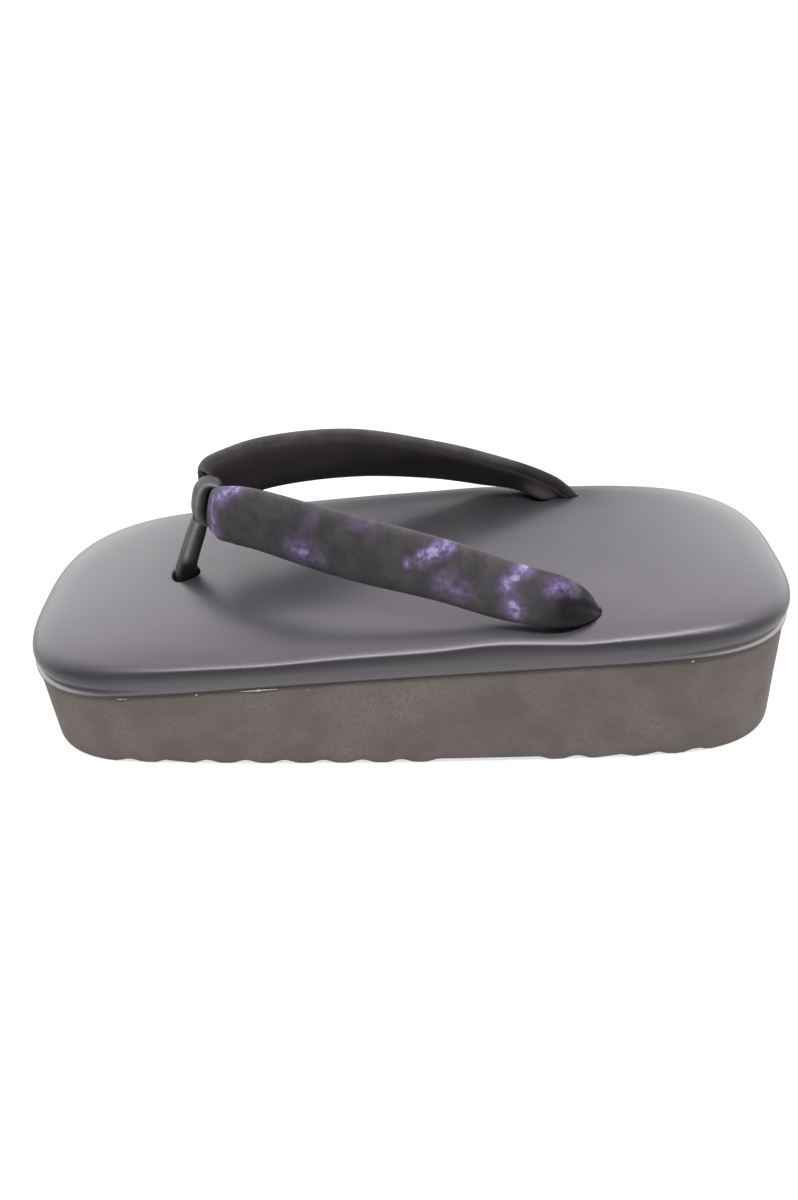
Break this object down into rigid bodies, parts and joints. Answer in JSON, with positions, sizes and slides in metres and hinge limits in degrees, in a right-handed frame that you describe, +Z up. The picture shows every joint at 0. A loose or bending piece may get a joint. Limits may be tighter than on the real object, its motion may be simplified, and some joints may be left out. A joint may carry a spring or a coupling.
{
  "type": "setta sandal",
  "caption": "Thong sandal with a thick wedge sole on a wave tread, a padded vinyl footbed, a padded tie-dyed velvet strap and a leather front thong",
  "frame": {"origin": "on the floor under the middle of the sandal's box", "axes": "+X to the toe, +Y to the wearer's left, which is the side that the picture shows, +Z up"},
  "size_m": [0.2532, 0.0974, 0.084],
  "materials": {
    "sole_foam": "matte",
    "footbed_vinyl": "satin",
    "strap_velvet": "velvet",
    "thong_leather": "satin"
  },
  "bodies": {
    "root": {"sole": "sole_foam", "footbed": "footbed_vinyl", "strap": "strap_velvet", "front_thong": "thong_leather"}
  },
  "joints": []
}
